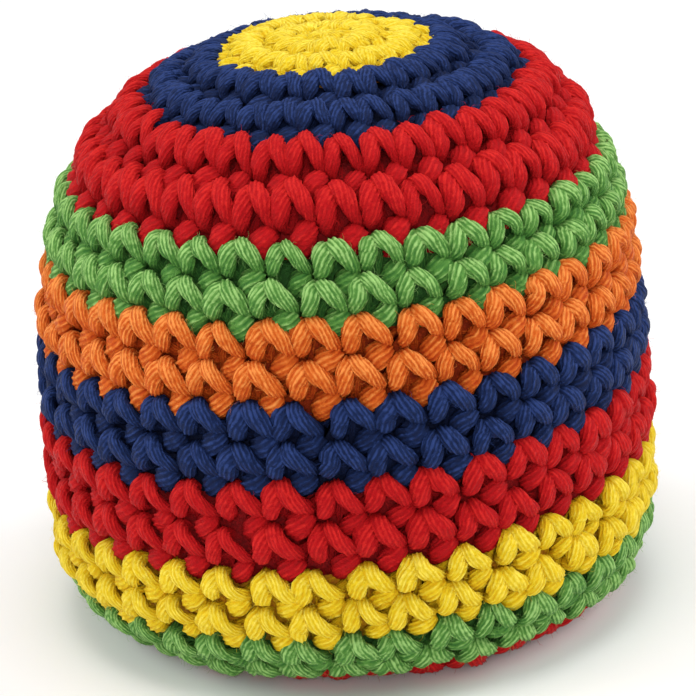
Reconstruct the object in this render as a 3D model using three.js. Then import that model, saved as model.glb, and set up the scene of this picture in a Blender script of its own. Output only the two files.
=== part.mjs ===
// Crocheted bean ball: a striped cover of yarn bands, worked in rounds from crown to base,
// over a tied liner bag full of plastic pellets.
// Millimetres, +Z up. The ball stands on z = 0 with its axis on x = y = 0.
import * as THREE from 'three';

// Cover shape, measured over the yarn
const BALL_RADIUS = 30.5; // widest radius
const BALL_HEIGHT = 56.8; // height on the axis
const WIDEST_HEIGHT = 12.9; // the filling sinks, so the cover is widest low down
const BASE_FLAT_RADIUS = 18.9; // flat that the ball stands on
const SHOULDER_POWER = 3.46; // squareness of the shoulder: 2 is an ellipse
const HEM_POWER = 2.6; // squareness of the corner at the floor
const CROWN_TILT = 2.7; // degrees: the crown sits lower on its -X side
const CROWN_RISE = 1.3; // height of the low dome that the crown makes
const CROWN_RISE_RADIUS = 14.5; // radius of that dome

// Yarn wall, rounds and stitches
const WALL = 3.2; // thickness of the cover
const ROUND_GROOVE = 0.9; // depth of the groove between two rounds
const STITCH_RELIEF = 0.5; // depth of the dip between two stitches
const SEAM_WAVE = 0.55; // how far the stitches at a colour change reach up and down
const STITCH_LEAN = 0.2; // each round lies this part of a stitch behind the round above it
const CROWN_DIMPLE = 0.3; // depth of the closed ring in the middle of the crown

// Seams between two colours: what a squeeze closes, and what stays open
const SEAM_GAP = 0.95; // seam that closes as the ball is squeezed
const SEAM_REST = 0.3; // seam that never moves, or what is left of one that does
const SEAM_TRAVEL = SEAM_GAP - SEAM_REST;

// Liner bag, its tied neck and the thread
const LINER_CLEARANCE = 0.4; // liner to cover
const LINER_WALL = 0.8;
const FILLING_LIFT = 2.5; // how far the filled liner can shift up inside the cover
const NECK_LENGTH = 5;
const NECK_RADIUS = 3.2; // under the thread
const NECK_FLARE = 1.6; // the gathered end stands out this much over the thread
const NECK_BORE = 1.2; // radius of the hole that the gathers leave
const THREAD_RADIUS = 0.6;
const THREAD_CLEARANCE = 0.3;

// Pellets
const FILL_CLEARANCE = 0.3; // heap to liner, and pellet to heap
const FILL_EDGE = 2; // rolled edge of the heap's top
const PELLET_DIAMETER = 4;
const PELLET_LENGTH = 3;
const PELLET_GAP = 0.6; // between two loose pellets
const PELLET_HEADROOM = 1.6; // free space over the loose pellets
const PELLET_RINGS = 2; // rings of loose pellets round the middle one
const PELLETS_IN_FIRST_RING = 6;

// Facets
const OUTLINE_STEPS = 120; // along each quarter of the cover's outline
const LINER_STEPS = 8; // along each quarter of the liner's and the heap's outline
const LINER_COLUMNS = 28;
const THREAD_SIDES = 6;
const PELLET_SIDES = 10;

// Colours and roughness
const YELLOW = 0xdfc13e;
const NAVY = 0x273258;
const RED = 0xbc1d1e;
const GREEN = 0x77a458;
const ORANGE = 0xd97334;
const CLOTH_DARK = 0x2b2725;
const PELLET_WHITE = 0xe8ecee;
const YARN_ROUGHNESS = 0.95;
const CLOTH_ROUGHNESS = 0.9;
const PELLET_ROUGHNESS = 0.5;

// Bands from crown to base, with their rounds, the stitches in a round and how far a round is drawn
// out, where 1 is a plain round of the side wall. Bands that stand on the floor don't move.
const BANDS = [
  { name: 'yellow_crown', colour: YELLOW, rounds: 3, stitches: 20, stretch: 1.02 },
  { name: 'navy_crown_band', colour: NAVY, rounds: 2, stitches: 32, stretch: 1.22 },
  { name: 'red_shoulder_band', colour: RED, rounds: 2, stitches: 39, stretch: 1.445 },
  { name: 'green_upper_band', colour: GREEN, rounds: 2, stitches: 39, stretch: 0.965 },
  { name: 'orange_band', colour: ORANGE, rounds: 2, stitches: 39, stretch: 1.06 },
  { name: 'navy_waist_band', colour: NAVY, rounds: 2, stitches: 39, stretch: 1.045 },
  { name: 'red_lower_band', colour: RED, rounds: 2, stitches: 39, stretch: 1.16 },
  { name: 'yellow_lower_band', colour: YELLOW, rounds: 2, stitches: 39, stretch: 0.975 },
  { name: 'green_base_band', colour: GREEN, rounds: 2, stitches: 39, stretch: 0.99, still: true },
  { name: 'red_base_band', colour: RED, rounds: 2, stitches: 32, stretch: 1.2, still: true, flat: true },
  { name: 'yellow_base_disc', colour: YELLOW, rounds: 3, stitches: 24, stretch: 1.3, still: true, flat: true },
];
const movingSeams = BANDS.filter((band) => !band.still).length;
const squeezeTravel = movingSeams * SEAM_TRAVEL;

// Half outline of a slumped ball, from the middle of its top to the middle of its base
function slumpedOutline(radius, top, bottom, steps) {
  const points = [];
  for (let i = 0; i <= steps; i += 1) {
    const turn = (i / steps) * (Math.PI / 2);
    const out = Math.sin(turn) ** (2 / SHOULDER_POWER);
    const up = Math.max(0, Math.cos(turn)) ** (2 / SHOULDER_POWER);
    points.push(new THREE.Vector2(radius * out, WIDEST_HEIGHT + (top - WIDEST_HEIGHT) * up));
  }
  const hemWidth = radius - BASE_FLAT_RADIUS;
  const hemHeight = WIDEST_HEIGHT - bottom;
  for (let i = 1; i <= steps; i += 1) {
    const turn = (i / steps) * (Math.PI / 2);
    const out = Math.max(0, Math.cos(turn)) ** (2 / HEM_POWER);
    const down = Math.sin(turn) ** (2 / HEM_POWER);
    points.push(new THREE.Vector2(BASE_FLAT_RADIUS + hemWidth * out, WIDEST_HEIGHT - hemHeight * down));
  }
  points.push(new THREE.Vector2(0, bottom));
  return points;
}

// The middle of the crown makes a low dome over the slumped outline
function withDomedCrown(outline) {
  return outline.map((point) => {
    const rise = CROWN_RISE * (1 - Math.min(1, point.x / CROWN_RISE_RADIUS) ** 2);
    return new THREE.Vector2(point.x, point.y + (point.y > WIDEST_HEIGHT ? rise : 0));
  });
}

function coverPath(radius, top, bottom) {
  return new THREE.Path(withDomedCrown(slumpedOutline(radius, top, bottom, OUTLINE_STEPS)));
}

const outerPath = coverPath(BALL_RADIUS, BALL_HEIGHT, 0);
const innerPath = coverPath(BALL_RADIUS - WALL, BALL_HEIGHT - WALL, WALL);
const outlineLength = outerPath.getLength();

// The bands don't lie level on the slumped ball. At each share of the outline they lie this much higher
// on the +X side and lower on the -X side.
const BAND_SLANT = [
  { share: 0, higher: 0 },
  { share: 0.11, higher: 0 },
  { share: 0.2, higher: -0.9 },
  { share: 0.3, higher: -0.6 },
  { share: 0.38, higher: 0 },
  { share: 0.69, higher: 1.9 },
  { share: 0.78, higher: 1.9 },
  { share: 1, higher: 0 },
];

function bandSlant(share) {
  const next = Math.max(1, BAND_SLANT.findIndex((mark) => mark.share >= share));
  const [before, after] = [BAND_SLANT[next - 1], BAND_SLANT[next]];
  return THREE.MathUtils.mapLinear(share, before.share, after.share, before.higher, after.higher);
}

// The whole ball tips with its crown: heights grow towards +X and the floor stays flat
const tipPerMillimetre = Math.tan(THREE.MathUtils.degToRad(CROWN_TILT)) / BALL_HEIGHT;

function tipped(point) {
  return new THREE.Vector3(point.x, point.y, point.z * (1 + tipPerMillimetre * point.x));
}

// Closed skin over rows of points. A row of one point is a pole on the axis. Rows run down the
// outside and back up the inside, and the last row joins the first.
function skin(rows, columns) {
  const positions = [];
  const firsts = rows.map((row) => {
    const first = positions.length / 3;
    row.forEach((point) => positions.push(...tipped(point).toArray()));
    return first;
  });
  const index = (i, j) => firsts[i] + (rows[i].length > 1 ? j % columns : 0);
  const triangles = [];
  rows.forEach((row, i) => {
    const next = (i + 1) % rows.length;
    for (let j = 0; j < columns; j += 1) {
      const [a, b] = [index(i, j), index(i, j + 1)];
      const [c, d] = [index(next, j), index(next, j + 1)];
      if (a !== b) triangles.push(a, c, b);
      if (c !== d) triangles.push(b, c, d);
    }
  });
  const geometry = new THREE.BufferGeometry();
  geometry.setAttribute('position', new THREE.Float32BufferAttribute(positions, 3));
  geometry.setIndex(triangles);
  geometry.computeVertexNormals();
  return geometry;
}

function ringPoint(radius, height, turn) {
  return new THREE.Vector3(radius * Math.cos(turn), radius * Math.sin(turn), height);
}

// Solid of revolution over half-outline points, with a pole wherever a point is on the axis
function turned(points, columns) {
  const rows = points.map((point) => {
    if (point.x === 0) return [new THREE.Vector3(0, 0, point.y)];
    const row = [];
    for (let j = 0; j < columns; j += 1) row.push(ringPoint(point.x, point.y, (j / columns) * 2 * Math.PI));
    return row;
  });
  return skin(rows, columns);
}

// One band of the cover. Two columns of points follow each stitch: its crest and the dip beside it.
function bandGeometry(band) {
  const columns = 2 * band.stitches;
  const relief = band.flat ? 0 : STITCH_RELIEF;
  const place = (across, depth, column) => {
    const share = across / band.rounds;
    const wave = THREE.MathUtils.lerp(band.waveAbove, band.waveBelow, share) * (column % 2 ? -1 : 1);
    const stitch = column / 2 - STITCH_LEAN * (band.roundsAbove + across);
    const turn = (stitch / band.stitches) * 2 * Math.PI;
    const level = THREE.MathUtils.lerp(band.start, band.end, share) + wave;
    const along = (level - bandSlant(level / outlineLength) * Math.cos(turn)) / outlineLength;
    const point = outerPath.getPoint(along).lerp(innerPath.getPoint(along), depth / WALL);
    return ringPoint(point.x, point.y, turn);
  };
  const ring = (across, depth, dip) => {
    const row = [];
    for (let j = 0; j < columns; j += 1) row.push(place(across, depth + (j % 2 ? dip : 0), j));
    return row;
  };
  const rows = [];
  const closedAbove = band.start === 0;
  const closedBelow = band.end === outlineLength;
  if (closedAbove) rows.push([new THREE.Vector3(0, 0, outerPath.getPoint(0).y - CROWN_DIMPLE)]);
  else rows.push(ring(0, ROUND_GROOVE, 0));
  for (let round = 0; round < band.rounds; round += 1) {
    rows.push(ring(round + 0.5, 0, relief));
    if (closedBelow && round === band.rounds - 1) rows.push([new THREE.Vector3(0, 0, 0)]);
    else rows.push(ring(round + 1, ROUND_GROOVE, 0));
  }
  if (closedBelow) rows.push([new THREE.Vector3(0, 0, WALL)]);
  else rows.push(ring(band.rounds, WALL, 0));
  rows.push(ring(band.rounds / 2, WALL, 0));
  if (closedAbove) rows.push([new THREE.Vector3(0, 0, innerPath.getPoint(0).y)]);
  else rows.push(ring(0, WALL, 0));
  return skin(rows, columns);
}

// Shares the outline out among the bands, with the gap of each seam between them
function layOutBands() {
  const total = BANDS.reduce((sum, band) => sum + band.rounds * band.stretch, 0);
  const seamWave = (above, below) => (above && below && above.stitches === below.stitches ? SEAM_WAVE : 0);
  let edge = 0;
  let roundsAbove = 0;
  return BANDS.map((band, i) => {
    const above = BANDS[i - 1];
    const below = BANDS[i + 1];
    const width = (band.rounds * band.stretch * outlineLength) / total;
    const gapAbove = above ? (above.still ? SEAM_REST : SEAM_GAP) : 0;
    const gapBelow = below ? (band.still ? SEAM_REST : SEAM_GAP) : 0;
    const laid = {
      ...band,
      roundsAbove,
      start: edge + gapAbove / 2,
      end: below ? edge + width - gapBelow / 2 : outlineLength,
      waveAbove: seamWave(above, band),
      waveBelow: seamWave(band, below),
    };
    edge += width;
    roundsAbove += band.rounds;
    return laid;
  });
}

const ball = new THREE.Group();

function addPiece(name, geometry, colour, roughness) {
  const material = new THREE.MeshStandardMaterial({ color: colour, roughness, metalness: 0 });
  const mesh = new THREE.Mesh(geometry, material);
  mesh.name = name;
  ball.add(mesh);
  return mesh;
}

// Cover
layOutBands().forEach((band) => addPiece(band.name, bandGeometry(band), band.colour, YARN_ROUGHNESS));

// Liner bag: it fits inside the squeezed cover with the filling lifted, neck and all
const neckTop = BALL_HEIGHT - WALL - squeezeTravel - FILLING_LIFT - LINER_CLEARANCE;
const linerTop = neckTop - NECK_LENGTH;
const linerBottom = WALL + LINER_CLEARANCE;
const linerRadius = BALL_RADIUS - WALL - LINER_CLEARANCE;
const threadHeight = linerTop + NECK_LENGTH / 2;

function linerOutline(inset) {
  return slumpedOutline(linerRadius - inset, linerTop - inset, linerBottom + inset, LINER_STEPS);
}

function outlineUnderNeck(inset) {
  const outline = linerOutline(inset);
  return outline.filter((point) => point.x > NECK_RADIUS + NECK_FLARE || point.y === linerBottom + inset);
}

const linerProfile = [
  new THREE.Vector2(NECK_RADIUS + NECK_FLARE, neckTop),
  new THREE.Vector2(NECK_RADIUS, threadHeight + THREAD_RADIUS),
  new THREE.Vector2(NECK_RADIUS, threadHeight - THREAD_RADIUS),
  ...outlineUnderNeck(0),
  ...outlineUnderNeck(LINER_WALL).reverse(),
  new THREE.Vector2(NECK_BORE, threadHeight - THREAD_RADIUS - LINER_WALL),
  new THREE.Vector2(NECK_BORE, neckTop),
];
addPiece('liner_bag', turned(linerProfile, LINER_COLUMNS), CLOTH_DARK, CLOTH_ROUGHNESS);

// Thread that ties the neck
const threadRing = NECK_RADIUS + THREAD_CLEARANCE + THREAD_RADIUS;
const threadProfile = [];
for (let i = 0; i < THREAD_SIDES; i += 1) {
  const turn = (i / THREAD_SIDES) * -2 * Math.PI;
  const [out, up] = [Math.cos(turn), Math.sin(turn)];
  threadProfile.push(new THREE.Vector2(threadRing + THREAD_RADIUS * out, threadHeight + THREAD_RADIUS * up));
}
addPiece('liner_tie', turned(threadProfile, LINER_COLUMNS), CLOTH_DARK, CLOTH_ROUGHNESS);

// Heap of pellets, level on top with a rolled edge
const fillTop = linerTop - LINER_WALL - PELLET_HEADROOM - PELLET_LENGTH - FILL_CLEARANCE;
const fillOutline = linerOutline(LINER_WALL + FILL_CLEARANCE);
const fillShoulder = fillTop - FILL_EDGE;
const below = fillOutline.findIndex((point) => point.y < fillShoulder);
const [over, under] = [fillOutline[below - 1], fillOutline[below]];
const fillRadius = THREE.MathUtils.mapLinear(fillShoulder, over.y, under.y, over.x, under.x);
const fillProfile = [
  new THREE.Vector2(0, fillTop),
  new THREE.Vector2(fillRadius - FILL_EDGE, fillTop),
  new THREE.Vector2(fillRadius, fillShoulder),
  ...fillOutline.slice(below),
];
addPiece('pellet_fill', turned(fillProfile, LINER_COLUMNS), PELLET_WHITE, PELLET_ROUGHNESS);

// Loose pellets on the heap, each standing on the tipped top
const pelletPitch = PELLET_DIAMETER + PELLET_GAP;
const heapSlope = Math.atan(fillTop * tipPerMillimetre);
let pelletNumber = 0;

function addPellet(x, y) {
  pelletNumber += 1;
  const geometry = new THREE.CylinderGeometry(
    PELLET_DIAMETER / 2, PELLET_DIAMETER / 2, PELLET_LENGTH, PELLET_SIDES,
  );
  geometry.rotateX(Math.PI / 2);
  const name = `loose_pellet_${String(pelletNumber).padStart(2, '0')}`;
  const pellet = addPiece(name, geometry, PELLET_WHITE, PELLET_ROUGHNESS);
  const foot = tipped(new THREE.Vector3(x, y, fillTop));
  pellet.position.set(x, y, foot.z + FILL_CLEARANCE + PELLET_LENGTH / 2);
  pellet.rotation.y = -heapSlope;
}

addPellet(0, 0);
for (let ring = 1; ring <= PELLET_RINGS; ring += 1) {
  const count = PELLETS_IN_FIRST_RING * ring;
  for (let i = 0; i < count; i += 1) {
    const turn = ((i + 0.5 * (ring - 1)) / count) * 2 * Math.PI;
    addPellet(ring * pelletPitch * Math.cos(turn), ring * pelletPitch * Math.sin(turn));
  }
}

export default ball;
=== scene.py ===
"""Looks of the crocheted bean ball. Every round of the cover is one closed loop of plied yarn, worked
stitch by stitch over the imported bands, and inside it lies a tied cloth bag full of pellets."""

import math
from collections import namedtuple

import bpy
import numpy as np
from mathutils import Matrix, Vector


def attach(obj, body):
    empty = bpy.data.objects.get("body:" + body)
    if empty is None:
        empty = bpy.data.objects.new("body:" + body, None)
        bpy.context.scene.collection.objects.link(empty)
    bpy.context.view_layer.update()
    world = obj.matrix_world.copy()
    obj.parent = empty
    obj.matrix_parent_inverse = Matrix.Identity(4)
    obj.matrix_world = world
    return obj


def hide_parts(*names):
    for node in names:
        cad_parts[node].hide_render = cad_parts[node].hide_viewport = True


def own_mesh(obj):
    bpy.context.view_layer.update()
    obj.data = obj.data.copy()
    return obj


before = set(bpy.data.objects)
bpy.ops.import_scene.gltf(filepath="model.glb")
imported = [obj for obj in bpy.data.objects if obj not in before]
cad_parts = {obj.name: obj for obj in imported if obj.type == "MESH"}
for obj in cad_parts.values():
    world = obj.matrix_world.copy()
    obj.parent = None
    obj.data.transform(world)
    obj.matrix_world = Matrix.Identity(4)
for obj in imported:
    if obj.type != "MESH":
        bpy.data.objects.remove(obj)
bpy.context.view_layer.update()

MM = 0.001
TURN = 2 * math.pi
UP = (0.0, 0.0, 1.0)
NO_LENGTH = 1e-12

# Cover shape in millimetres, as in the part's source
BALL_RADIUS = 30.5
BALL_HEIGHT = 56.8
WIDEST_HEIGHT = 12.9
BASE_FLAT_RADIUS = 18.9
SHOULDER_POWER = 3.46
HEM_POWER = 2.6
CROWN_TILT = math.radians(2.7)
CROWN_DIMPLE = 0.3
CROWN_RISE = 1.3
CROWN_RISE_RADIUS = 14.5
WALL = 3.2

# Only here: the dimple's radius, the radii between which the crown's tilt sets in, and the points along each
# quarter of the outline
DIMPLE_RADIUS = 1.5
TILT_START = (6.0, 20.0)
OUTLINE_STEPS = 400

# No point lies lower than this over the floor, in millimetres
LOWEST = 0.02

# Slant of the bands: shares of the outline, and how many millimetres higher they lie there on the +X side
SLANT_SHARES = (0.0, 0.11, 0.2, 0.3, 0.38, 0.69, 0.78, 1.0)
BAND_SLANT = (0.0, 0.0, -0.9, -0.6, 0.0, 1.9, 1.9, 0.0)

# Yarn in millimetres. Each strand swells and shrinks in waves with lengths between those in SWELL_LENGTHS.
YARN_RADIUS = 0.93
STRANDS = 12
STRAND_POINTS = 2
STRAND_RELIEF = 0.105
STRAND_UNEVENNESS = 0.08
SWELL_WAVES = 2
SWELL_LENGTHS = (3.0, 9.0)
FLATNESS = 0.33
TWIST_LENGTH = 11.0

# Where the yarn lies: depth of the wall's middle under the outside, the pitch of stitches that gives full
# thickness, the least thickness on narrower ones, and the ends of the outline that no yarn reaches
MIDDLE_DEPTH = 1.95
PLAIN_PITCH = 4.5
THINNEST = 0.7
OUTLINE_MARGIN = 0.05

# Length in millimetres over which the directions on the cover are taken
PROBE = 1.0

# Unevenness of hand work: of a whole stitch and of each bend in it, in stitches, rounds and millimetres
STITCH_WANDER = (0.05, 0.04, 0.1)
BEND_WANDER = (0.012, 0.012, 0.06)
THICKNESS_WANDER = 0.07

# Seeds of the chance in the cover and in the filling
COVER_SEED = 7
FILLING_SEED = 11

# Each round lies this part of a stitch behind the round above it, and the first one this far off the front
ROUND_LEAN = 0.205
FRONT_STITCH = 0.241

# The legs of a round reach this far up over its edge, in millimetres
LEG_REACH = 0.75

# Tip, a painted highlight that makes the yarn paler where it faces up: at the top of a round, lost over one
# round down, gained on the upper side of the yarn, and gained on top of the ball
HIGHLIGHT_START = 0.6
HIGHLIGHT_LOSS = 1.5
HIGHLIGHT_UPPER_SIDE = 0.5
HIGHLIGHT_ON_TOP = 0.5
SKY_POWER = 3

# Loose fibres that stand off the yarn, in millimetres. They start where the yarn is higher than FIBRE_RISE,
# with their roots FIBRE_ROOT deep in it, and leave it along the line of the yarn. Lift and bend turn them off
# that way, and arch and sway, which are shares of their length, curve them.
FIBRES_PER_STITCH = 20
FIBRE_LENGTH = (0.25, 1.0)
FIBRE_RADIUS = 0.014
FIBRE_TAPER = (1.0, 0.8, 0.3)
FIBRE_SIDES = 3
FIBRE_RISE = 1.1
FIBRE_ROOT = 0.1
FIBRE_LIFT = (0.1, 0.7)
FIBRE_BEND = 0.5
FIBRE_ARCH = 0.12
FIBRE_SWAY = 0.1

# How far the crown sinks when the ball is squeezed, in millimetres, and the points that give a seam's height
SQUEEZE = 5.2
SEAM_POINTS = 8

# Wall behind the stitches, in the painted shade of their gaps: its outside over the middle of the cover's
# wall, its inside under the outline, and the ends of the outline that it doesn't reach
BACKING_LIFT = -0.4
BACKING_INSIDE = 3.15
BACKING_MARGIN = 0.4
BACKING_COLUMNS = 96
BACKING_ROWS = 6

# Yarns: slot, and the colours in linear light: painted shade deep in the gaps and between the strands, the
# colour on them, and that of their palest fibres, which the painted highlight also takes
Yarn = namedtuple("Yarn", "slot in_gaps between on_strands palest")
YELLOW = Yarn(
    "yellow_yarn",
    in_gaps=(0.28, 0.060, 0.014),
    between=(0.64, 0.36, 0.006),
    on_strands=(0.77, 0.55, 0.018),
    palest=(0.83, 0.65, 0.075),
)
NAVY = Yarn(
    "navy_yarn",
    in_gaps=(0.010, 0.012, 0.026),
    between=(0.009, 0.012, 0.032),
    on_strands=(0.0095, 0.019, 0.066),
    palest=(0.024, 0.045, 0.152),
)
RED = Yarn(
    "red_yarn",
    in_gaps=(0.14, 0.011, 0.012),
    between=(0.33, 0.009, 0.011),
    on_strands=(0.43, 0.0085, 0.0115),
    palest=(0.55, 0.019, 0.017),
)
GREEN = Yarn(
    "green_yarn",
    in_gaps=(0.018, 0.060, 0.016),
    between=(0.034, 0.135, 0.026),
    on_strands=(0.095, 0.25, 0.047),
    palest=(0.28, 0.49, 0.15),
)
ORANGE = Yarn(
    "orange_yarn",
    in_gaps=(0.17, 0.016, 0.009),
    between=(0.41, 0.045, 0.007),
    on_strands=(0.63, 0.125, 0.018),
    palest=(0.78, 0.25, 0.058),
)
THREAD = Yarn(
    "liner_thread",
    in_gaps=(0.003, 0.003, 0.003),
    between=(0.006, 0.005, 0.005),
    on_strands=(0.025, 0.021, 0.019),
    palest=(0.05, 0.042, 0.038),
)

# Bands from crown to base: node, body, yarn, stitches of each round, how far a round is drawn out, how far
# its knots sink in, in millimetres, how much of the stitches' relief it keeps, and how full its yarn is
Band = namedtuple("Band", "node body yarn rounds stretch sink relief fullness")
BANDS = [
    Band("yellow_crown", "crown", YELLOW, (7, 14, 21), 1.02, 0.7, 0.32, 1.16),
    Band("navy_crown_band", "navy_crown", NAVY, (27, 36), 1.22, 0.5, 0.7, 1.1),
    Band("red_shoulder_band", "red_shoulder", RED, (39, 39), 1.445, 0.1, 1.0, 1.11),
    Band("green_upper_band", "green_upper", GREEN, (39, 39), 0.965, 0.0, 1.0, 1.0),
    Band("orange_band", "orange", ORANGE, (39, 39), 1.08, 0.0, 1.0, 1.0),
    Band("navy_waist_band", "navy_waist", NAVY, (39, 39), 1.03, 0.0, 1.0, 1.03),
    Band("red_lower_band", "red_lower", RED, (39, 39), 1.16, 0.0, 1.0, 1.05),
    Band("yellow_lower_band", "yellow_lower", YELLOW, (39, 39), 0.99, 0.0, 1.0, 1.0),
    Band("green_base_band", "base", GREEN, (39, 39), 1.02, 0.0, 1.0, 1.0),
    Band("red_base_band", "base", RED, (34, 28), 1.15, 0.3, 0.8, 1.05),
    Band("yellow_base_disc", "base", YELLOW, (22, 15, 8), 1.3, 0.6, 0.6, 1.1),
]

# One stitch, seen from outside with the crown up: the left leg, the right leg, and the knot under them.
# Each point is (stitches to the right of the legs' meeting point, rounds below it, millimetres out from
# the middle of the wall, thickness, steps to the next point).
LEGS = [
    (-0.08, -0.01, -0.60, 0.70, 1),
    (-0.12, 0.03, 0.35, 0.94, 2),
    (-0.17, 0.14, 0.78, 1.06, 3),
    (-0.20, 0.31, 0.95, 1.03, 4),
    (-0.22, 0.49, 0.78, 0.90, 3),
    (-0.24, 0.63, -0.05, 0.70, 1),
    (-0.12, 0.66, -0.65, 0.65, 1),
    (0.25, 0.66, -0.65, 0.65, 1),
    (0.51, 0.58, -0.05, 0.66, 2),
    (0.42, 0.44, 0.75, 0.80, 3),
    (0.28, 0.25, 1.12, 0.91, 4),
    (0.12, 0.06, 1.02, 0.94, 3),
    (0.03, -0.05, 0.45, 0.84, 1),
    (0.04, 0.06, -0.60, 0.68, 1),
    (0.02, 0.52, -0.65, 0.68, 1),
]
KNOT = [
    (0.12, 1.16, -0.60, 0.70, 2),
    (0.21, 1.02, -0.02, 1.12, 3),
    (0.32, 0.86, 0.30, 1.28, 3),
    (0.43, 0.72, 0.24, 1.12, 2),
    (0.50, 0.60, -0.25, 0.78, 1),
]
STITCH = LEGS + KNOT
ASIDE, DOWN, LIFT, THICKNESS, STEPS = range(5)
STITCH_STEPS = [point[STEPS] for point in STITCH]
SAMPLES = sum(STITCH_STEPS)

# A band that keeps less relief is drawn towards this height over the middle of the wall, in millimetres
TALLEST = 1.0


# Cover surface
def slumped_outline(radius, top, bottom):
    """Half outline of a slumped ball, from the middle of its top to the middle of its base."""
    turn = np.linspace(0, TURN / 4, OUTLINE_STEPS)
    rise = np.clip(np.cos(turn), 0, 1)
    fall = np.sin(turn)
    shoulder = np.stack([
        radius * fall ** (2 / SHOULDER_POWER),
        WIDEST_HEIGHT + (top - WIDEST_HEIGHT) * rise ** (2 / SHOULDER_POWER),
    ], 1)
    hem = np.stack([
        BASE_FLAT_RADIUS + (radius - BASE_FLAT_RADIUS) * rise ** (2 / HEM_POWER),
        WIDEST_HEIGHT - (WIDEST_HEIGHT - bottom) * fall ** (2 / HEM_POWER),
    ], 1)
    return np.concatenate([shoulder, hem[1:], [[0.0, bottom]]])


def along_outline(outline):
    """Distance of each outline point from the crown, as a share of the whole length, and that length."""
    steps = np.linalg.norm(np.diff(outline, axis=0), axis=1)
    length = np.concatenate([[0.0], np.cumsum(steps)])
    return length / length[-1], length[-1]


OUTER = slumped_outline(BALL_RADIUS, BALL_HEIGHT, 0)
INNER = slumped_outline(BALL_RADIUS - WALL, BALL_HEIGHT - WALL, WALL)
OUTER_SHARE, OUTLINE_LENGTH = along_outline(OUTER)
INNER_SHARE, _ = along_outline(INNER)


def eased(value, start, end):
    """0 before start, 1 after end and a smooth step between them."""
    share = np.clip((value - start) / (end - start), 0, 1)
    return share * share * (3 - 2 * share)


def tipped(points, share=1.0):
    """Heights grow towards +X, because the whole ball tips over."""
    points = points.copy()
    points[..., 2] *= 1 + math.tan(CROWN_TILT) / BALL_HEIGHT * points[..., 0] * share
    return points


def cover_point(along, turn, depth):
    """Points of the cover, by the distance along its outline, the turn about its axis and the depth in it."""
    share = along / OUTLINE_LENGTH
    share = share - np.interp(share, SLANT_SHARES, BAND_SLANT) * np.cos(turn) / OUTLINE_LENGTH
    inward = depth / WALL
    radius, height = (
        np.interp(share, OUTER_SHARE, OUTER[:, k]) * (1 - inward)
        + np.interp(share, INNER_SHARE, INNER[:, k]) * inward
        for k in (0, 1)
    )
    crown = height > WIDEST_HEIGHT
    height = height + crown * CROWN_RISE * (1 - np.minimum(1, radius / CROWN_RISE_RADIUS) ** 2)
    height = height - crown * CROWN_DIMPLE * np.exp(-((radius / DIMPLE_RADIUS) ** 2))
    tip = np.where(crown, eased(radius, *TILT_START), 1.0)
    return tipped(np.stack([radius * np.cos(turn), radius * np.sin(turn), height], -1), tip)


def unit(vectors):
    """The same directions, one long."""
    return vectors / np.maximum(np.linalg.norm(vectors, axis=-1, keepdims=True), NO_LENGTH)


# Yarn
Line = namedtuple("Line", "places fall lift thickness outward crownward")
Tube = namedtuple("Tube", "places lie crest rise tip away ahead")


def smooth_loop(points, steps):
    """Closed Catmull-Rom line through the points of each stitch in turn, and on to the next stitch."""
    count, width = points.shape[1:]
    flat = points.reshape(-1, width)
    before, start, end, after = (np.roll(flat, -k, 0) for k in (-1, 0, 1, 2))
    pieces = []
    for i in range(count):
        t = (np.arange(steps[i]) / steps[i])[None, :, None]
        p0, p1, p2, p3 = (line[i::count][:, None, :] for line in (before, start, end, after))
        pieces.append(0.5 * (
            2 * p1 + (p2 - p0) * t
            + (2 * p0 - 5 * p1 + 4 * p2 - p3) * t**2
            + (3 * p1 - p0 - 3 * p2 + p3) * t**3
        ))
    return np.concatenate(pieces, axis=1).reshape(-1, width)


def round_of_yarn(band, start, height, stitches, lean, random):
    """Middle line of one round's yarn, with its thickness, its height over the wall's middle and ways out."""
    table = np.array([point[:STEPS] for point in STITCH])
    table[len(LEGS):, LIFT] -= band.sink
    middle = cover_point(np.array([start + height / 2]), np.array([0.0]), 0.0)[0]
    pitch = TURN * math.hypot(middle[0], middle[1]) / stitches
    slimness = min(1.0, max(THINNEST, math.sqrt(pitch / PLAIN_PITCH)))
    table[:, LIFT] = TALLEST + (table[:, LIFT] - TALLEST) * band.relief + (1 - slimness) * YARN_RADIUS

    cells = np.repeat(table[None], stitches, 0)
    for k in (ASIDE, DOWN, LIFT):
        cells[:, :, k] += random.normal(0, STITCH_WANDER[k], (stitches, 1))
        cells[:, :, k] += random.normal(0, BEND_WANDER[k], cells.shape[:2])
    cells[:, :, THICKNESS] *= 1 + random.normal(0, THICKNESS_WANDER, (stitches, 1))
    cells[:, :, ASIDE] += np.arange(stitches)[:, None]

    turn = (cells[..., ASIDE] + lean) / stitches * TURN - TURN / 4
    along = start - LEG_REACH + height * cells[..., DOWN]
    along = np.clip(along, OUTLINE_MARGIN, OUTLINE_LENGTH - OUTLINE_MARGIN)
    points = cover_point(along, turn, MIDDLE_DEPTH - cells[..., LIFT])
    outward = cover_point(along, turn, 0.0) - cover_point(along, turn, PROBE)
    crownward = cover_point(along - PROBE / 2, turn, 0.0) - cover_point(along + PROBE / 2, turn, 0.0)
    line = smooth_loop(np.concatenate([points, cells[..., DOWN:STEPS], outward, crownward], -1), STITCH_STEPS)
    return Line(
        places=line[:, :3],
        fall=line[:, 3],
        lift=line[:, 4],
        thickness=line[:, 5] * slimness * band.fullness,
        outward=unit(line[:, 6:9]),
        crownward=unit(line[:, 9:]),
    )


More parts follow.
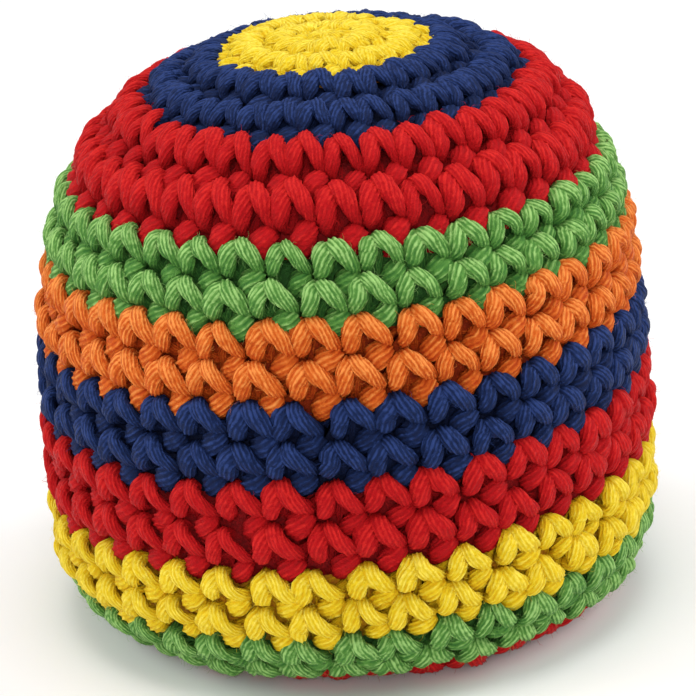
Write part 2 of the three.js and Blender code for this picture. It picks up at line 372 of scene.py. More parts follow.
def carried_sides(line):
    """Direction of a closed line, a side that turns about it as little as it can, and the turn left over."""
    ahead = unit(np.roll(line, -1, 0) - np.roll(line, 1, 0))
    side = np.zeros_like(line)
    first = np.cross(ahead[0], UP)
    side[0] = first / np.linalg.norm(first)
    for i in range(1, len(line)):
        carried = side[i - 1] - ahead[i] * np.dot(side[i - 1], ahead[i])
        side[i] = carried / math.sqrt(np.dot(carried, carried))
    closing = side[-1] - ahead[0] * np.dot(side[-1], ahead[0])
    other = np.cross(ahead[0], side[0])
    return ahead, side, math.atan2(np.dot(closing, other), np.dot(closing, side[0]))


def yarn_tube(line, random):
    """Points of a plied yarn along a closed line, and for each its fibre coordinates, crest, rise and
    painted-highlight tip.
    """
    ahead, side, leftover = carried_sides(line.places)
    other = np.cross(ahead, side)
    step = np.linalg.norm(np.roll(line.places, -1, 0) - line.places, axis=1)
    run = np.concatenate([[0.0], np.cumsum(step)[:-1]])
    length = step.sum()
    turns = round((TURN * length / TWIST_LENGTH + leftover) / TURN) * TURN - leftover

    points = STRANDS * STRAND_POINTS
    spot = np.arange(points)
    crest = np.where(spot % STRAND_POINTS == 0, 0.0, 1.0)
    angle = (spot * TURN / points)[None, :] + (run / length * turns)[:, None]
    shortest, longest = SWELL_LENGTHS
    waves = random.integers(length / longest, length / shortest, (SWELL_WAVES, STRANDS))
    phases = random.uniform(0, TURN, (SWELL_WAVES, STRANDS))
    uneven = np.sin(run[:, None, None] / length * TURN * waves + phases).sum(1) * STRAND_UNEVENNESS
    swell = 1 + np.repeat(uneven, STRAND_POINTS, 1) * crest
    radius = (YARN_RADIUS - STRAND_RELIEF * (1 - crest)) * swell * line.thickness[:, None]

    away = np.cos(angle)[..., None] * side[:, None, :] + np.sin(angle)[..., None] * other[:, None, :]
    outness = np.einsum("ijk,ik->ij", away, line.outward)
    upness = np.einsum("ijk,ik->ij", away, line.crownward)
    flat = away - FLATNESS * outness[..., None] * line.outward[:, None, :]
    places = line.places[:, None, :] + radius[..., None] * flat
    lie = np.stack(np.broadcast_arrays(
        run[:, None],
        YARN_RADIUS * np.cos(spot * TURN / points)[None, :],
        YARN_RADIUS * np.sin(spot * TURN / points)[None, :],
    ), -1)
    rise = line.lift[:, None] + radius * outness
    # Tip: a painted highlight, strongest near the top of a stitch, on the yarn's upper side and on top of the
    # ball
    sky = np.maximum(line.outward[:, 2], 0) ** SKY_POWER
    tip = HIGHLIGHT_START - HIGHLIGHT_LOSS * line.fall[:, None] + HIGHLIGHT_UPPER_SIDE * upness + HIGHLIGHT_ON_TOP * sky[:, None]
    return Tube(places, lie, np.broadcast_to(crest, rise.shape), rise, np.clip(tip, 0, 1), away, ahead)


# Meshes
def wrapped_quads(rows, columns):
    """Quads of a grid that closes on itself both ways."""
    i = np.arange(rows)[:, None]
    j = np.arange(columns)[None, :]
    down = (i + 1) % rows
    right = (j + 1) % columns
    corners = (i * columns + j, i * columns + right, down * columns + right, down * columns + j)
    return np.stack(np.broadcast_arrays(*corners), -1).reshape(-1, 4)


def repeated_quads(quads, points, count):
    """The same quads for each of so many alike forms, with so many points each."""
    return (quads[None] + points * np.arange(count)[:, None, None]).reshape(-1, 4)


def unwrapped(rows, columns):
    """Place of each corner of a grid's quads on a flat sheet, from 0 to 1 both ways."""
    i = np.arange(rows)[:, None]
    j = np.arange(columns)[None, :]
    u = np.stack(np.broadcast_arrays(i, i, i + 1, i + 1 + 0 * j), -1) / rows
    v = np.stack(np.broadcast_arrays(j + 0 * i, j + 1, j + 1, j), -1) / columns
    return np.stack([u, v], -1).reshape(-1, 4, 2)


def inset(flat, margin):
    """A flat sheet drawn in from its edges."""
    return margin + (1 - 2 * margin) * flat


def sheet_cells(flat, numbers, grid, margin):
    """The flat sheet of one form, laid into the numbered cells of a square grid."""
    cells = np.stack([numbers % grid, numbers // grid], -1)[:, None, None, :]
    return ((cells + inset(flat, margin)[None]) / grid).reshape(-1, 4, 2)


class Parts:
    """Gathers grids of points into one mesh, with the marks on its points that the materials read."""

    def __init__(self):
        self.places = []
        self.faces = []
        self.sheets = []
        # crest, rise and tip drive the yarn's painted shade and painted highlight; pale marks the loose
        # fibres
        self.marks = {"lie": [], "crest": [], "rise": [], "tip": [], "pale": []}
        self.count = 0

    def add(self, places, faces, sheet, lie, crest=0.0, rise=0.0, tip=0.0, pale=0.0):
        """Adds points, quads of them, the quads' corners on the flat sheet, and the marks of the points."""
        places = np.maximum(places.reshape(-1, 3), (-np.inf, -np.inf, LOWEST))
        self.places.append(places)
        self.faces.append(faces + self.count)
        self.sheets.append(sheet)
        self.marks["lie"].append(lie.reshape(-1, 3))
        for key, values in (("crest", crest), ("rise", rise), ("tip", tip), ("pale", pale)):
            self.marks[key].append(np.broadcast_to(np.ravel(values), len(places)))
        self.count += len(places)

    def build(self, name, material):
        """Makes the piece and puts it in the scene."""
        quads = np.concatenate(self.faces)
        sheet = np.concatenate(self.sheets)
        mesh = bpy.data.meshes.new(name)
        mesh.vertices.add(self.count)
        mesh.vertices.foreach_set("co", (np.concatenate(self.places) * MM).astype(np.float32).ravel())
        mesh.loops.add(quads.size)
        mesh.loops.foreach_set("vertex_index", quads.astype(np.int32).ravel())
        mesh.polygons.add(len(quads))
        mesh.polygons.foreach_set("loop_start", np.arange(0, quads.size, 4, dtype=np.int32))
        mesh.update(calc_edges=True)
        mesh.polygons.foreach_set("use_smooth", np.full(len(quads), True))
        for key, values in self.marks.items():
            values = np.concatenate(values).astype(np.float32)
            kind, field = ("FLOAT_VECTOR", "vector") if values.ndim == 2 else ("FLOAT", "value")
            mesh.attributes.new(key, kind, "POINT").data.foreach_set(field, values.ravel())
        mesh.uv_layers.new(name="OFBake").data.foreach_set("uv", sheet.astype(np.float32).ravel())
        mesh.materials.append(material)
        piece = bpy.data.objects.new(name, mesh)
        bpy.context.scene.collection.objects.link(piece)
        return piece


# Materials
Span = namedtuple("Span", "low high to_low to_high")


def node(tree, kind, **values):
    """A new shader node with these settings."""
    made = tree.nodes.new(kind)
    for key, value in values.items():
        setattr(made, key, value)
    return made


def attribute(tree, name):
    """A mark on the points of the mesh."""
    return node(tree, "ShaderNodeAttribute", attribute_name=name)


def fibre_noise(tree, scale, detail):
    """Noise in the coordinates of the fibres: along the yarn and across it."""
    stretch = node(tree, "ShaderNodeMapping")
    stretch.inputs["Scale"].default_value = scale
    tree.links.new(attribute(tree, "lie").outputs["Vector"], stretch.inputs["Vector"])
    noise = node(tree, "ShaderNodeTexNoise")
    noise.inputs["Scale"].default_value = 1.0
    noise.inputs["Detail"].default_value = detail
    tree.links.new(stretch.outputs["Vector"], noise.inputs["Vector"])
    return noise.outputs["Fac"]


def remapped(tree, value, span):
    """A value between the span's ends, moved to lie between its new ends."""
    moved = node(tree, "ShaderNodeMapRange")
    moved.inputs["From Min"].default_value = span.low
    moved.inputs["From Max"].default_value = span.high
    moved.inputs["To Min"].default_value = span.to_low
    moved.inputs["To Max"].default_value = span.to_high
    tree.links.new(value, moved.inputs["Value"])
    return moved.outputs["Result"]


def product(tree, *values):
    """All the values multiplied."""
    result = values[0]
    for value in values[1:]:
        times = node(tree, "ShaderNodeMath", operation="MULTIPLY")
        tree.links.new(result, times.inputs[0])
        tree.links.new(value, times.inputs[1])
        result = times.outputs[0]
    return result


def total(tree, value, other):
    """Two values added."""
    plus = node(tree, "ShaderNodeMath", operation="ADD")
    tree.links.new(value, plus.inputs[0])
    tree.links.new(other, plus.inputs[1])
    return plus.outputs[0]


def opaque(colour, amount=1.0):
    """A colour so many times as bright, with its alpha."""
    return tuple(part * amount for part in colour) + (1.0,)


def coloured(tree, value, stops):
    """Colour of a value: each stop is a place from 0 to 1 and the colour there."""
    ramp = node(tree, "ShaderNodeValToRGB")
    marks = ramp.color_ramp.elements
    while len(marks) < len(stops):
        marks.new(0.5)
    for mark, (place, colour) in zip(marks, stops):
        mark.position = place
        mark.color = colour
    tree.links.new(value, ramp.inputs["Fac"])
    return ramp.outputs["Color"]


def mixed(tree, share, colour, other):
    """A linked colour that gives way to a plain one as the share grows."""
    mix = node(tree, "ShaderNodeMix", data_type="RGBA")
    first, second = [socket for socket in mix.inputs if socket.type == "RGBA"]
    tree.links.new(share, mix.inputs["Factor"])
    tree.links.new(colour, first)
    second.default_value = other
    return next(socket for socket in mix.outputs if socket.type == "RGBA")


def raised(tree, shader, height, strength, distance):
    """Fine relief from a height, so many millimetres deep where the height grows by 1."""
    bump = node(tree, "ShaderNodeBump")
    bump.inputs["Strength"].default_value = strength
    bump.inputs["Distance"].default_value = distance * MM
    tree.links.new(height, bump.inputs["Height"])
    tree.links.new(bump.outputs["Normal"], shader.inputs["Normal"])


def new_material(name, roughness, specular):
    """A material, its node tree and its shader."""
    material = bpy.data.materials.new(name)
    material.use_nodes = True
    shader = material.node_tree.nodes["Principled BSDF"]
    shader.inputs["Roughness"].default_value = roughness
    shader.inputs["Specular IOR Level"].default_value = specular
    return material, material.node_tree, shader


# Look of the yarn: fine noise for single fibres and wider patches along the strands, both per millimetre
YARN_ROUGHNESS = 0.6
YARN_SPECULAR = 0.2
YARN_SHEEN = 0.08
SHEEN_ROUGHNESS = 0.5
YARN_BUMP = 0.6
FINE_NOISE = (3.0, 3.0, 3.0)
PATCH_NOISE = (0.5, 2.4, 2.4)
NOISE_DETAIL = 2.0

# Tone of the yarn is the product of these: painted shade low in the dips between strands and deep in the
# wall, a painted highlight that fades low down on a stitch, and the yarn's own uneven patches and fibres
DEEPEST = -0.6
DIP_SHADE_TONE = Span(0.0, 0.8, 0.48, 0.84)
DEPTH_SHADE_TONE = Span(DEEPEST, 1.8, 0.44, 1.01)
HIGHLIGHT_TONE = Span(0.0, 0.9, 0.88, 1.14)
PATCH_TONE = Span(0.35, 0.65, 0.82, 1.12)
FINE_TONE = Span(0.36, 0.64, 0.74, 1.18)

# Height that the fine noise adds to the relief of the strands, whose own height is 1
FINE_HEIGHT = Span(0.36, 0.64, 0.0, 1.6)

# Tones at which a yarn has each of its four colours, from painted shade to painted highlight, and how much
# brighter than the palest the painted highlight gets at tone 1
TONE_STOPS = (0.08, 0.28, 0.56, 0.8)
HIGHLIGHT_GAIN = 1.15


def yarn_material(yarn):
    """Plied acrylic yarn: fibres along the strands, painted shade between them, painted highlights, a soft
    sheen.
    """
    material, tree, shader = new_material(yarn.slot, YARN_ROUGHNESS, YARN_SPECULAR)
    shader.inputs["Specular Tint"].default_value = opaque(yarn.palest, 1 / max(yarn.palest))
    shader.inputs["Sheen Weight"].default_value = YARN_SHEEN
    shader.inputs["Sheen Roughness"].default_value = SHEEN_ROUGHNESS
    shader.inputs["Sheen Tint"].default_value = opaque(yarn.palest)

    fine = fibre_noise(tree, FINE_NOISE, NOISE_DETAIL)
    patches = fibre_noise(tree, PATCH_NOISE, NOISE_DETAIL)
    crest = attribute(tree, "crest").outputs["Fac"]
    tone = product(
        tree,
        remapped(tree, crest, DIP_SHADE_TONE),
        remapped(tree, attribute(tree, "rise").outputs["Fac"], DEPTH_SHADE_TONE),
        remapped(tree, attribute(tree, "tip").outputs["Fac"], HIGHLIGHT_TONE),
        remapped(tree, patches, PATCH_TONE),
        remapped(tree, fine, FINE_TONE),
    )
    # The ramp runs from the painted shade of the gaps to a painted highlight brighter than the palest
    colours = (yarn.in_gaps, yarn.between, yarn.on_strands, yarn.palest)
    stops = [(place, opaque(colour)) for place, colour in zip(TONE_STOPS, colours)]
    stops.append((1.0, opaque(yarn.palest, HIGHLIGHT_GAIN)))
    # Loose fibres take the palest colour all over, that of the painted highlight
    loose = attribute(tree, "pale").outputs["Fac"]
    shade = mixed(tree, loose, coloured(tree, tone, stops), opaque(yarn.palest))
    tree.links.new(shade, shader.inputs["Base Color"])
    raised(tree, shader, total(tree, crest, remapped(tree, fine, FINE_HEIGHT)), YARN_BUMP, STRAND_RELIEF)
    return material


# Flat sheets for baked colours. A band's stitches lie in strips, in columns, with a margin round each. The
# row after the last strip holds the backing in its left half and the loose fibres in its right half.
SHEET_MARGIN = 0.01
SHEET_COLUMNS = 4
STRIP_MARGIN = (0.02, 0.06)
HALF_ROW = (0.48, 0.9)
HALF_ROW_MARGIN = (0.01, 0.05)
FIBRE_MARGIN = 0.1
PELLET_MARGIN = 0.05

# Cells for loose fibres are enough for a band with this many stitches, more than any band has
MOST_STITCHES = 90


def stitch_sheet(first, stitches, rows):
    """Flat places for a round of yarn: a strip for each stitch, stacked in SHEET_COLUMNS columns."""
    flat = unwrapped(stitches * SAMPLES, STRANDS * STRAND_POINTS)
    number = np.repeat(np.arange(stitches), SAMPLES * STRANDS * STRAND_POINTS)
    within = flat[..., 0] * stitches - number[:, None]
    column = (first + number) % SHEET_COLUMNS
    row = (first + number) // SHEET_COLUMNS
    u = (column[:, None] + inset(within, STRIP_MARGIN[0])) / SHEET_COLUMNS
    v = (row[:, None] + inset(flat[..., 1], STRIP_MARGIN[1])) / rows
    return np.stack([u, v], -1)


def in_last_row(flat, half, rows):
    """A flat sheet laid into the left half, 0, or the right half, 1, of the last row."""
    corner = (HALF_ROW_MARGIN[0] + half / 2, (rows - 1 + HALF_ROW_MARGIN[1]) / rows)
    return flat * (HALF_ROW[0], HALF_ROW[1] / rows) + corner


# Cover bands
def add_backing(parts, band, start, end, rows):
    """Closed wall behind the stitches of a band, all in the painted shade of the gaps."""
    depth = MIDDLE_DEPTH - TALLEST + (TALLEST - BACKING_LIFT) * band.relief
    first = max(start, BACKING_MARGIN)
    last = min(end, OUTLINE_LENGTH - BACKING_MARGIN)
    along = np.linspace(first, last, BACKING_ROWS)
    section = [(a, depth) for a in along] + [(a, BACKING_INSIDE) for a in along[::-1]]
    turn = np.linspace(0, TURN, BACKING_COLUMNS, endpoint=False)
    places = np.stack([cover_point(np.full_like(turn, a), turn, d) for a, d in section], 1)
    grid = places.shape[:2]
    sheet = in_last_row(unwrapped(*grid), 0, rows)
    # Marked as deep as the tone goes, the backing takes the painted shade of the gaps
    parts.add(places, wrapped_quads(*grid)[:, ::-1], sheet[:, ::-1], places, rise=DEEPEST)


def add_fibres(parts, tube, count, first, rows, random):
    """Loose fibres: thin curved threads that leave the outside of the yarn."""
    outside = np.argwhere(tube.rise > FIBRE_RISE)
    picks = outside[random.integers(0, len(outside), count)]
    root = tube.places[picks[:, 0], picks[:, 1]]
    out = tube.away[picks[:, 0], picks[:, 1]]
    along = tube.ahead[picks[:, 0]] * random.choice([-1.0, 1.0], (count, 1))
    bend = unit(random.normal(0, 1, (count, 3)))
    way = unit(out * random.uniform(*FIBRE_LIFT, (count, 1)) + along + FIBRE_BEND * bend)
    length = random.uniform(*FIBRE_LENGTH, (count, 1))
    tip = root + way * length
    middle = (root + tip) / 2 + out * FIBRE_ARCH * length + bend * FIBRE_SWAY * length
    root = root - out * FIBRE_ROOT

    side = unit(np.cross(way, bend))
    other = np.cross(way, side)
    spin = np.arange(FIBRE_SIDES) * TURN / FIBRE_SIDES
    ring = np.cos(spin)[None, :, None] * side[:, None, :] + np.sin(spin)[None, :, None] * other[:, None, :]
    rings = [
        centre[:, None, :] + ring * FIBRE_RADIUS * size
        for centre, size in zip((root, middle, tip), FIBRE_TAPER)
    ]
    quads = wrapped_quads(len(rings), FIBRE_SIDES)[:-FIBRE_SIDES]
    faces = repeated_quads(quads, len(rings) * FIBRE_SIDES, count)
    grid = math.ceil(math.sqrt(FIBRES_PER_STITCH * MOST_STITCHES))
    flat = unwrapped(len(rings) - 1, FIBRE_SIDES)
    cells = sheet_cells(flat, first + np.arange(count), grid, FIBRE_MARGIN)
    places = np.stack(rings, 1)
    # Loose fibres are marked pale, so they take the palest colour, that of the painted highlight
    parts.add(places, faces, in_last_row(cells, 1, rows), places, pale=1.0)


def seam_height(along):
    """Mean height of a line round the cover, in millimetres."""
    turn = np.arange(SEAM_POINTS) * TURN / SEAM_POINTS
    return cover_point(np.full(SEAM_POINTS, along), turn, 0.0)[:, 2].mean()


def follow_squeeze(piece, number, start, end):
    """A band sinks with its body; where its neighbours sink by different amounts it gets a mesh of its own.
    """
    bodies = [band.body for band in BANDS]
    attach(piece, bodies[number])
    if number == 0:
        return
    steps = list(dict.fromkeys(bodies))
    sinks = [SQUEEZE * (1 - steps.index(body) / (len(steps) - 1)) for body in bodies] + [0.0]
    sink = sinks[number]
    over = (sinks[number - 1] + sink) / 2
    under = (sink + sinks[number + 1]) / 2
    top = seam_height(start)
    bottom = seam_height(end)
    gather = (over - under) / (top - bottom)
    if gather > 0:
        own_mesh(piece)


def make_bands():
    """Every band of the cover, from crown to base, each as one piece that replaces its node."""
    random = np.random.default_rng(COVER_SEED)
    materials = {}
    plain_rounds = sum(len(band.rounds) * band.stretch for band in BANDS)
    edge = 0.0
    lean = FRONT_STITCH
    for number, band in enumerate(BANDS):
        height = band.stretch * OUTLINE_LENGTH / plain_rounds
        rows = math.ceil(sum(band.rounds) / SHEET_COLUMNS) + 1
        parts = Parts()
        start = edge
        first = 0
        for stitches in band.rounds:
            tube = yarn_tube(round_of_yarn(band, edge, height, stitches, lean, random), random)
            quads = wrapped_quads(*tube.rise.shape)
            sheet = stitch_sheet(first, stitches, rows)
            parts.add(tube.places, quads, sheet, tube.lie, tube.crest, tube.rise, tube.tip)
            fibres = round(FIBRES_PER_STITCH * stitches * band.relief)
            add_fibres(parts, tube, fibres, FIBRES_PER_STITCH * first, rows, random)
            first += stitches
            edge += height
            lean -= ROUND_LEAN
        add_backing(parts, band, start, edge, rows)
        slot = band.yarn.slot
        if slot not in materials:
            materials[slot] = yarn_material(band.yarn)
        piece = parts.build(band.node + "_yarn", materials[slot])
        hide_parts(band.node)
        follow_squeeze(piece, number, start, edge)


# Filling: a cloth bag, gathered and tied at its neck, full of resin pellets, in millimetres
LINER_RADIUS = 26.9
LINER_TOP = 40.5
LINER_BOTTOM = 3.6
LINER_ROWS = 80
LINER_COLUMNS = 160
CLOTH_THICKNESS = 0.5

# Neck of the bag: radius and height down its outside. The body starts NECK_FILLET further out than the neck
# and ends at the radius MIDDLE_HOLE under the bag. No fold is drawn in further than LEAST_RADIUS.
NECK = [(4.4, 45.3), (3.9, 44.5), (3.3, 43.6), (3.2, 43.0), (3.3, 42.4), (4.0, 41.4)]
NECK_FILLET = 1.5
MIDDLE_HOLE = 0.3
LEAST_RADIUS = 0.1

# Pleats run down from the neck and fade over PLEAT_LENGTH. They wander sideways and twist on their way.
PLEATS = 20
PLEAT_DEPTH = 0.45
PLEAT_LENGTH = 12.0
PLEAT_WANDER = 0.8
PLEAT_WANDERS = 3
PLEAT_TWIST = 0.05

# Slack: shallow waves round the bag that twist and swell by so many radians per millimetre down it. Inside
# FOLD_RADIUS all folds fade towards the middle.
SLACK_WAVES = 5
SLACK_DEPTH = 0.2
SLACK_TWIST = 0.35
SLACK_SWELL = 0.21
FOLD_RADIUS = 6.0

# Thread round the neck
THREAD_HEIGHT = 43.0
THREAD_RING = 4.0
THREAD_WINDING = 0.4
THREAD_TURNS = 3
THREAD_STEPS = 150
THREAD_SIZE = 0.28
# THREAD_LIFT is the thread's height over the wall's middle for its tone, and so sets its painted shade
THREAD_LIFT = 0.6

# Heap of pellets, on a close lattice that reaches LATTICE_REACH steps each way
HEAP_TOP = 34.8
HEAP_INSET = 1.1
LATTICE_REACH = 10
PELLET_SPACING = 5.0
PELLET_REACH = 2.5
PELLET_SECTION = [(0.05, -1.5), (1.6, -1.5), (2.0, -1.15), (2.0, 1.15), (1.6, 1.5), (0.05, 1.5)]
PELLET_SIDES = 12

# Look of the cloth
CLOTH_ROUGHNESS = 0.9
CLOTH_SPECULAR = 0.2
CLOTH_DARK = (0.008, 0.007, 0.006)
CLOTH_PALE = (0.045, 0.036, 0.032)
CLOTH_BUMP = 0.5
CLOTH_RELIEF = 0.15
WEAVE_SCALE = 0.7
WEAVE_DISTORTION = 0.6
WEAVE_TONE = Span(0.0, 1.0, 0.4, 1.0)
SLUB_NOISE = (0.4, 3.0, 1.0)
SLUB_DETAIL = 3.0
SLUB_TONE = Span(0.3, 0.7, 0.6, 1.0)

# Look of the pellets: the two noises are per metre
PELLET_ROUGHNESS = 0.4
PELLET_SPECULAR = 0.4
PELLET_SUBSURFACE = 0.25
PELLET_SCATTER = 1.0
PELLET_DARK = (0.66, 0.69, 0.70)
PELLET_PALE = (0.82, 0.85, 0.86)
PELLET_BUMP = 0.3
CLOUD_NOISE = 250.0
CLOUD_STOPS = (0.3, 0.7)
SCUFF_NOISE = 2500.0
SCUFF_ROUGHNESS = Span(0.3, 0.7, 0.3, 0.55)
SCUFF_DEPTH = 0.05


def cloth_material():
    """Plain weave of dark cotton."""
    material, tree, shader = new_material("liner_cloth", CLOTH_ROUGHNESS, CLOTH_SPECULAR)
    threads = []
    for direction in ("X", "Y"):
        wave = node(tree, "ShaderNodeTexWave", bands_direction=direction)
        wave.inputs["Scale"].default_value = WEAVE_SCALE
        wave.inputs["Distortion"].default_value = WEAVE_DISTORTION
        tree.links.new(attribute(tree, "lie").outputs["Vector"], wave.inputs["Vector"])
        threads.append(wave.outputs["Fac"])
    weave = product(tree, *threads)
    slub = remapped(tree, fibre_noise(tree, SLUB_NOISE, SLUB_DETAIL), SLUB_TONE)
    tone = product(tree, remapped(tree, weave, WEAVE_TONE), slub)
    shade = coloured(tree, tone, ((0.0, opaque(CLOTH_DARK)), (1.0, opaque(CLOTH_PALE))))
    tree.links.new(shade, shader.inputs["Base Color"])
    raised(tree, shader, weave, CLOTH_BUMP, CLOTH_RELIEF)
    return material


def pellet_material():
    """Milky resin pellets, a little uneven in tone, with fine scuffs."""
    material, tree, shader = new_material("pellet_plastic", PELLET_ROUGHNESS, PELLET_SPECULAR)
    shader.inputs["Subsurface Weight"].default_value = PELLET_SUBSURFACE
    shader.inputs["Subsurface Scale"].default_value = PELLET_SCATTER * MM
    place = node(tree, "ShaderNodeTexCoord").outputs["Object"]
    noises = []
    for scale in (CLOUD_NOISE, SCUFF_NOISE):
        noise = node(tree, "ShaderNodeTexNoise")
        noise.inputs["Scale"].default_value = scale
        tree.links.new(place, noise.inputs["Vector"])
        noises.append(noise.outputs["Fac"])
    clouds, scuffs = noises
    dark, pale = CLOUD_STOPS
    shade = coloured(tree, clouds, ((dark, opaque(PELLET_DARK)), (pale, opaque(PELLET_PALE))))
    tree.links.new(shade, shader.inputs["Base Color"])
    tree.links.new(remapped(tree, scuffs, SCUFF_ROUGHNESS), shader.inputs["Roughness"])
    raised(tree, shader, scuffs, PELLET_BUMP, SCUFF_DEPTH)
    return material


def resampled(line, count):
    """The same open line with its points spread evenly, and how far along it each lies."""
    run = np.concatenate([[0.0], np.cumsum(np.linalg.norm(np.diff(line, axis=0), axis=1))])
    spread = np.linspace(0, run[-1], count)
    return np.stack([np.interp(spread, run, line[:, k]) for k in (0, 1)], 1), spread


def make_liner():
    """Thin shell of cloth that sags round the pellets, with pleats that run out from the tied neck."""
    outline = slumped_outline(LINER_RADIUS, LINER_TOP, LINER_BOTTOM)
    body = [tuple(point) for point in outline if point[0] > NECK[0][0] + NECK_FILLET]
    outside, run = resampled(np.array(NECK + body + [(MIDDLE_HOLE, LINER_BOTTOM)]), LINER_ROWS)
    ahead = unit(np.gradient(outside, axis=0))
    inside = outside + CLOTH_THICKNESS * np.stack([ahead[:, 1], -ahead[:, 0]], 1)

    turn = (np.arange(LINER_COLUMNS) * TURN / LINER_COLUMNS)[:, None]
    down = run[None, :]
    pleats = np.cos(PLEATS * turn + PLEAT_WANDER * np.sin(PLEAT_WANDERS * turn) + PLEAT_TWIST * down)
    slack = np.sin(SLACK_WAVES * turn + SLACK_TWIST * down) * np.sin(SLACK_SWELL * down)
    fade = np.minimum(1.0, outside[None, :, 0] / FOLD_RADIUS)
    fold = (PLEAT_DEPTH * np.exp(-down / PLEAT_LENGTH) * pleats + SLACK_DEPTH * slack) * fade
    layers = []
    for section, order in ((outside, 1), (inside, -1)):
        radius = np.maximum(section[None, :, 0] + fold, LEAST_RADIUS)
        height = np.broadcast_to(section[None, :, 1], radius.shape)
        layer = np.stack([radius * np.cos(turn), radius * np.sin(turn), height], -1)
        layers.append(layer[:, ::order])
    places = tipped(np.concatenate(layers, 1))
    there_and_back = np.concatenate([run, run[::-1]])[None, :]
    lie = np.stack(np.broadcast_arrays(turn * LINER_RADIUS, there_and_back, 0.0), -1)

    grid = places.shape[:2]
    sheet = inset(unwrapped(*grid), SHEET_MARGIN)
    parts = Parts()
    parts.add(places, wrapped_quads(*grid)[:, ::-1], sheet[:, ::-1], lie)
    piece = parts.build("liner_bag_cloth", cloth_material())
    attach(piece, "filling")
    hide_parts("liner_bag")


def make_thread(random):
    """Thread wound three times round the neck of the liner."""
    step = np.arange(THREAD_STEPS) * TURN / THREAD_STEPS
    radius = THREAD_RING + THREAD_WINDING * np.cos(step)
    turn = THREAD_TURNS * step
    height = THREAD_HEIGHT + THREAD_WINDING * np.sin(step)
    flat = np.zeros(THREAD_STEPS)
    outward = np.stack([np.cos(turn), np.sin(turn), flat], -1)
    line = Line(
        places=tipped(np.stack([radius * np.cos(turn), radius * np.sin(turn), height], -1)),
        fall=flat,
        lift=flat + THREAD_LIFT,
        thickness=flat + THREAD_SIZE,
        outward=outward,
        crownward=np.zeros_like(outward),
    )
    tube = yarn_tube(line, random)
    grid = tube.rise.shape
    sheet = inset(unwrapped(*grid), SHEET_MARGIN)
    parts = Parts()
    parts.add(tube.places, wrapped_quads(*grid), sheet, tube.lie, tube.crest, tube.rise)
    piece = parts.build("liner_tie_thread", yarn_material(THREAD))
    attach(piece, "filling")
    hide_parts("liner_tie")


def heap_spots():
    """Middles of the heap's pellets: the points of a close lattice that lie well inside the bag."""
    low = LINER_BOTTOM + HEAP_INSET
    outline = slumped_outline(LINER_RADIUS - HEAP_INSET, LINER_TOP - HEAP_INSET, low)[::-1]
    steps = np.arange(-LATTICE_REACH, LATTICE_REACH + 1)
    lattice = np.stack(np.meshgrid(steps, steps, steps, indexing="ij"), -1).reshape(-1, 3)
    lattice = lattice[lattice.sum(1) % 2 == 0] * PELLET_SPACING / math.sqrt(2) + (0.0, 0.0, HEAP_TOP / 2)
    height = lattice[:, 2]
    room = np.interp(height, outline[:, 1], outline[:, 0]) - PELLET_REACH
    fits = np.hypot(lattice[:, 0], lattice[:, 1]) < room
    fits &= height > low + PELLET_REACH
    fits &= height < HEAP_TOP - PELLET_REACH
    return tipped(lattice[fits])


def make_pellets(random):
    """Every pellet of the heap, turned at random, and the new look of the loose pellets on top of it."""
    spots = heap_spots()
    count = len(spots)
    turns = np.linalg.qr(random.normal(size=(count, 3, 3)))[0]
    turns[:, :, 0] *= np.sign(np.linalg.det(turns))[:, None]

    section = np.array(PELLET_SECTION)
    rings = len(section)
    radius = section[:, 0, None, None]
    height = section[:, 1, None, None]
    turn = np.arange(PELLET_SIDES) * TURN / PELLET_SIDES
    circle = np.stack([np.cos(turn), np.sin(turn)], -1)
    heights = np.broadcast_to(height, (rings, PELLET_SIDES, 1))
    form = np.concatenate([radius * circle[None], heights], -1).reshape(-1, 3)
    places = np.einsum("nij,pj->npi", turns, form) + spots[:, None, :]
    faces = repeated_quads(wrapped_quads(rings, PELLET_SIDES), len(form), count)
    grid = math.ceil(math.sqrt(count))
    sheet = sheet_cells(unwrapped(rings, PELLET_SIDES), np.arange(count), grid, PELLET_MARGIN)
    parts = Parts()
    parts.add(places, faces, sheet, places)
    plastic = pellet_material()
    piece = parts.build("pellet_heap", plastic)
    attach(piece, "filling")
    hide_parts("pellet_fill")
    for name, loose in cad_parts.items():
        if name.startswith("loose_pellet"):
            loose.data.materials.clear()
            loose.data.materials.append(plastic)


def make_filling():
    """Liner, thread and pellets."""
    random = np.random.default_rng(FILLING_SEED)
    make_liner()
    make_thread(random)
    make_pellets(random)


# Stage: a pale floor, and lights with their places and sizes in metres and their power in watts
FLOOR_HALF = 3.0
FLOOR_COLOUR = (0.9, 0.9, 0.9)
FLOOR_ROUGHNESS = 0.9
FLOOR_SPECULAR = 0.5
SKY_COLOUR = (1.0, 1.0, 1.0)
SKY_STRENGTH = 0.38
LIGHT_AIM = Vector((0, 0, 0.03))
LIGHTS = [
    ("left", (-0.8, 0.05, 0.5), 0.6, 3.9),
    ("right", (0.8, 0.05, 0.5), 0.6, 4.3),
    ("above", (0.0, -0.1, 1.0), 0.6, 4.6),
    ("front", (0.0, -1.0, 0.4), 0.4, 3.5),
]


def make_stage():
    """Floor that the ball stands on."""
    corners = [(x * FLOOR_HALF, y * FLOOR_HALF, 0) for x, y in ((-1, -1), (1, -1), (1, 1), (-1, 1))]
    mesh = bpy.data.meshes.new("floor")
    mesh.from_pydata(corners, [], [(0, 1, 2, 3)])
    floor = bpy.data.objects.new("floor", mesh)
    bpy.context.scene.collection.objects.link(floor)
    paper, _, shader = new_material("floor_paper", FLOOR_ROUGHNESS, FLOOR_SPECULAR)
    shader.inputs["Base Color"].default_value = opaque(FLOOR_COLOUR)
    mesh.materials.append(paper)


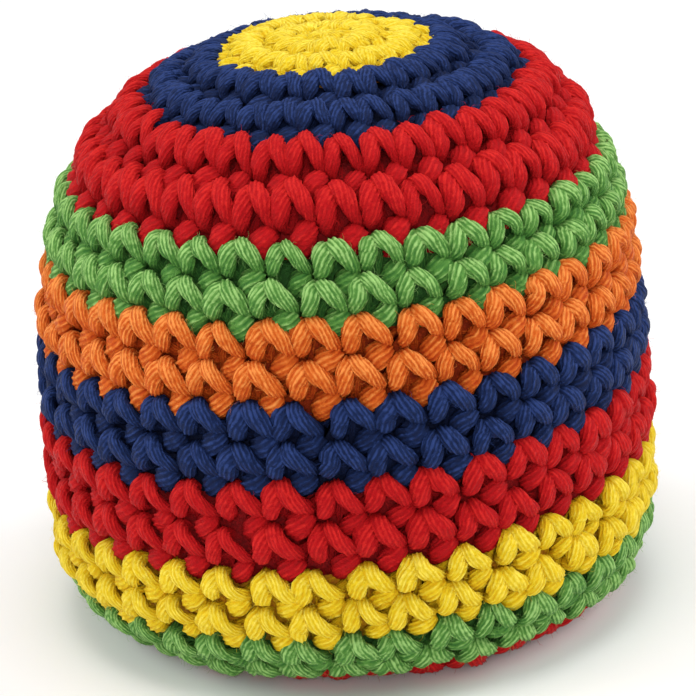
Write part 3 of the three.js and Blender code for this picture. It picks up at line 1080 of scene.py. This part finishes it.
def make_lights():
    """Even white surroundings and round lamps that aim at the ball."""
    world = bpy.data.worlds.new("studio")
    world.use_nodes = True
    background = world.node_tree.nodes["Background"]
    background.inputs["Color"].default_value = opaque(SKY_COLOUR)
    background.inputs["Strength"].default_value = SKY_STRENGTH
    bpy.context.scene.world = world
    bpy.context.scene.view_settings.view_transform = "Standard"
    for name, place, size, power in LIGHTS:
        lamp = bpy.data.lights.new(name, "AREA")
        lamp.shape = "DISK"
        lamp.size = size
        lamp.energy = power
        light = bpy.data.objects.new(name, lamp)
        light.location = place
        light.rotation_euler = (LIGHT_AIM - Vector(place)).to_track_quat("-Z", "Y").to_euler()
        bpy.context.scene.collection.objects.link(light)


# Camera, fitted to the outline and the band edges in the photograph
CAMERA_DISTANCE = 12 * BALL_RADIUS * MM
CAMERA_ELEVATION = math.radians(19.32)
CAMERA_ROLL = math.radians(3.61)
CLIP_START = 0.01
FOCAL_PIXELS = 3740.0
PICTURE = 696
SENSOR = 36.0
MIDDLE_PIXEL = (341.8, 320.7)


def make_camera():
    """Camera whose picture holds the middle of the ball's axis at MIDDLE_PIXEL."""
    data = bpy.data.cameras.new("camera")
    data.sensor_width = SENSOR
    data.lens = FOCAL_PIXELS * SENSOR / PICTURE
    data.shift_x = (PICTURE / 2 - MIDDLE_PIXEL[0]) / PICTURE
    data.shift_y = (MIDDLE_PIXEL[1] - PICTURE / 2) / PICTURE
    data.clip_start = CLIP_START
    camera = bpy.data.objects.new("camera", data)
    middle = Vector((0, 0, BALL_HEIGHT / 2 * MM))
    back = Vector((0, -math.cos(CAMERA_ELEVATION), math.sin(CAMERA_ELEVATION)))
    look = (-back).to_track_quat("-Z", "Y").to_matrix().to_4x4()
    place = Matrix.Translation(middle + back * CAMERA_DISTANCE)
    camera.matrix_world = place @ look @ Matrix.Rotation(-CAMERA_ROLL, 4, "Z")
    bpy.context.scene.collection.objects.link(camera)
    bpy.context.scene.camera = camera


make_camera()
make_stage()
make_lights()
make_bands()
make_filling()
